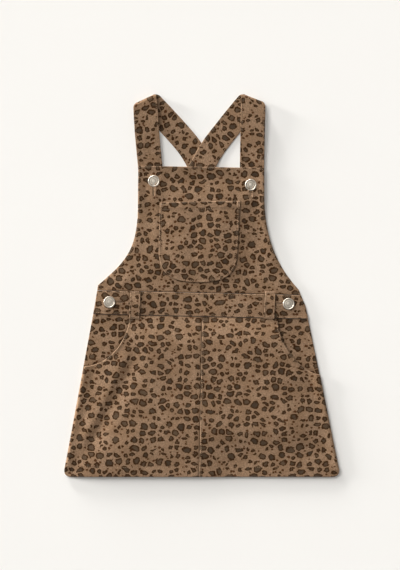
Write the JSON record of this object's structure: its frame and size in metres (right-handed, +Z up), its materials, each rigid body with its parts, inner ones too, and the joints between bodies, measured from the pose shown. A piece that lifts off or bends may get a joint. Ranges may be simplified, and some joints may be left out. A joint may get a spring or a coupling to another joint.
{
  "type": "pinafore dress",
  "caption": "Child's pinafore dress in printed cotton twill, laid flat: bib with patch pocket, crossed shoulder straps on metal buttons, waistband and A-line skirt.",
  "frame": {"origin": "on the surface that the dress lies on, under the middle of its outline", "axes": "+Y from the hem to the shoulder straps, +X to the right as seen from above, +Z up from the surface, the front of the dress uppermost"},
  "size_m": [0.399, 0.5568, 0.0092],
  "materials": {
    "printed_twill": "matt cotton twill, warm tan with a small animal-spot print in two browns, tan topstitching",
    "nickel_button": "pale satin nickel, raised rim, shallow domed centre"
  },
  "bodies": {
    "root": {"front_bib": "printed_twill", "bib_pocket": "printed_twill", "front_waistband": "printed_twill", "belt_loop_left": "printed_twill", "belt_loop_right": "printed_twill", "front_skirt_left": "printed_twill", "front_skirt_right": "printed_twill", "pocket_facing_left": "printed_twill", "pocket_facing_right": "printed_twill", "strap_left": "printed_twill", "strap_right": "printed_twill", "back_waistband": "printed_twill", "back_skirt": "printed_twill", "button_bib_left": "nickel_button", "button_bib_right": "nickel_button", "button_side_left": "nickel_button", "button_side_right": "nickel_button"}
  },
  "joints": []
}
